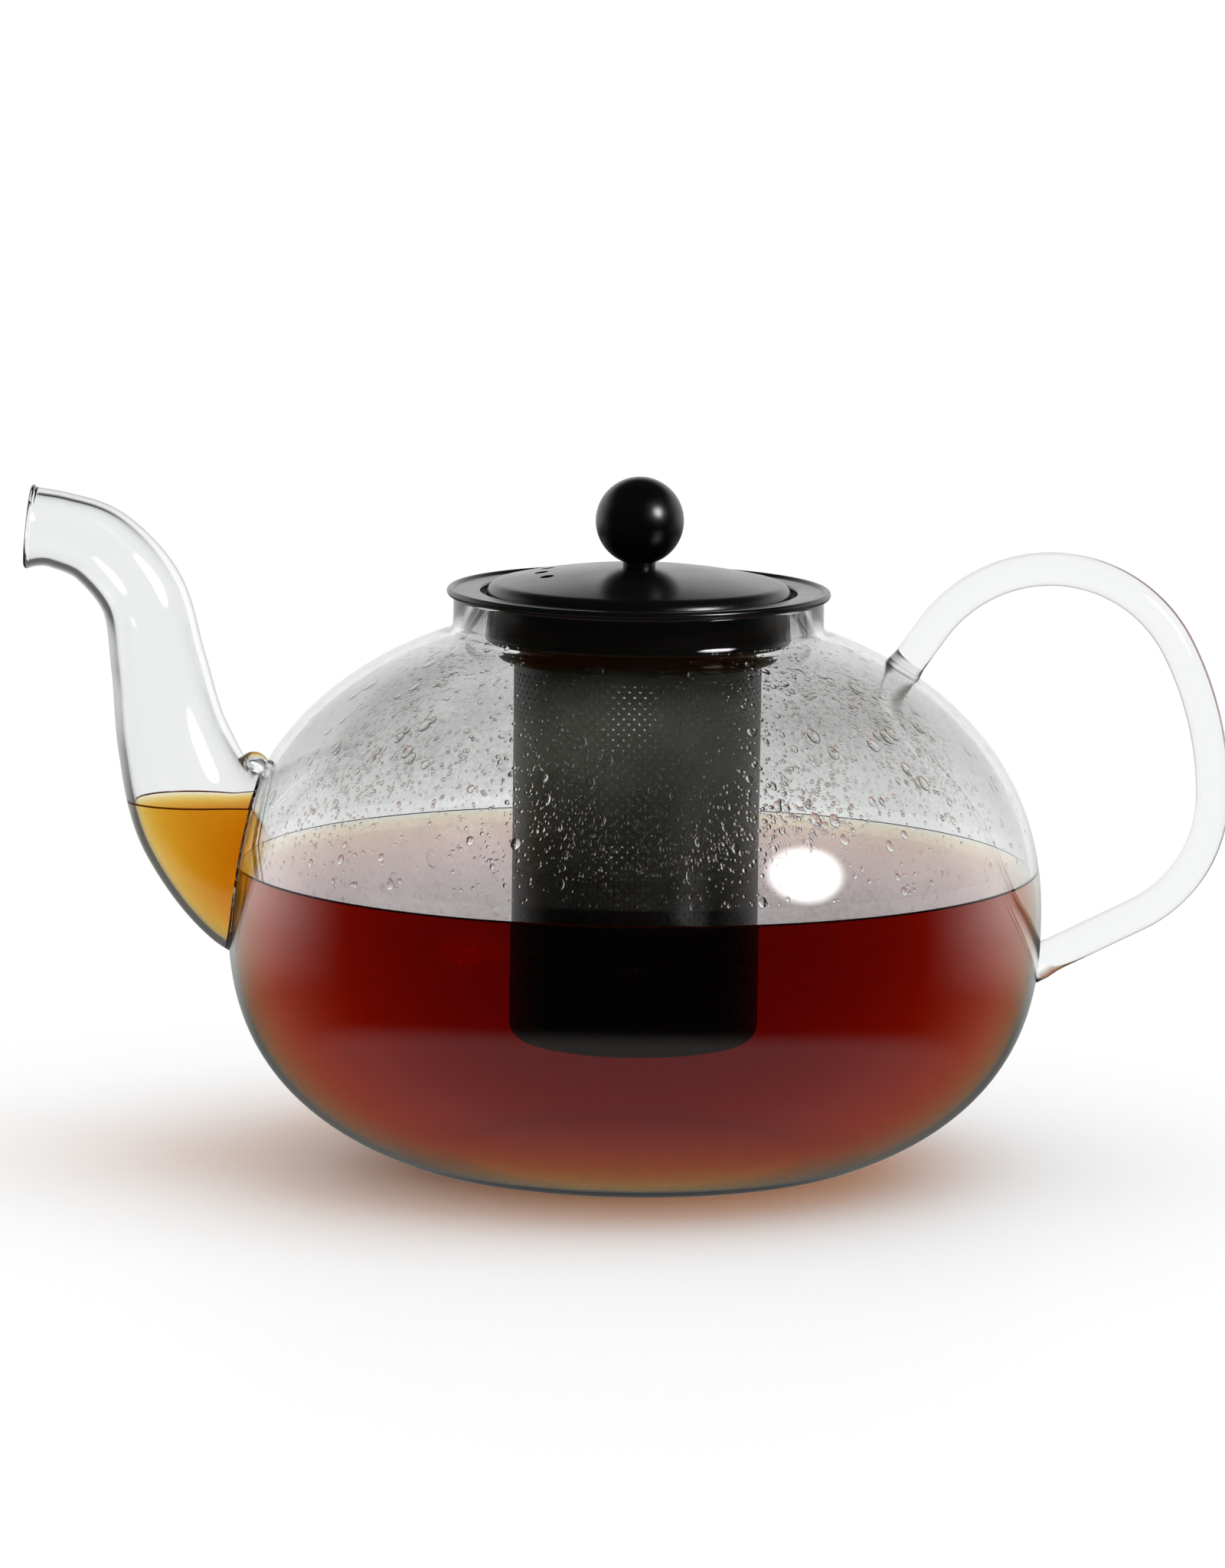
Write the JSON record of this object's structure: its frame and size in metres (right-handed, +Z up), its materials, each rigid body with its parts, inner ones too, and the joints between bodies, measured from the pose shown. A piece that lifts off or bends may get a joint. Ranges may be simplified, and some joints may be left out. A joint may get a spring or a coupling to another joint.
{
  "type": "glass teapot",
  "caption": "Squat blown glass teapot with a tapered spout, a looped rod handle, a lift-out perforated steel infuser and a domed lid with a ball knob.",
  "frame": {"origin": "on the bowl's axis, in the plane of the flat foot it stands on", "axes": "+Z up along the bowl's axis, +X towards the handle, -X towards the spout"},
  "size_m": [0.2729, 0.185, 0.1571],
  "materials": {
    "borosilicate_glass": "polished",
    "black_coated_steel": "satin",
    "perforated_steel": "satin",
    "black_phenolic": "satin",
    "stainless_steel": "satin",
    "black_tea": "gloss"
  },
  "bodies": {
    "pot": {"glass_body": "borosilicate_glass", "spout": "borosilicate_glass", "handle": "borosilicate_glass", "handle_top_weld": "borosilicate_glass", "handle_bottom_weld": "borosilicate_glass", "spout_weld": "borosilicate_glass", "tea": "black_tea", "spout_tea": "black_tea"},
    "infuser": {"infuser_collar": "black_coated_steel", "infuser_tube": "perforated_steel", "infuser_base": "perforated_steel"},
    "lid": {"lid_dome": "black_coated_steel", "lid_skirt": "black_coated_steel", "knob_ball": "black_phenolic", "knob_stem": "black_phenolic", "knob_washer": "stainless_steel", "knob_screw": "stainless_steel"}
  },
  "joints": [
    {"name": "infuser_lift", "type": "slide", "parent": "pot", "child": "infuser", "axis": [0, 0, 1], "range_m": [0, 0.11]},
    {"name": "lid_lift", "type": "slide", "parent": "infuser", "child": "lid", "axis": [0, 0, 1], "range_m": [0, 0.03]}
  ]
}
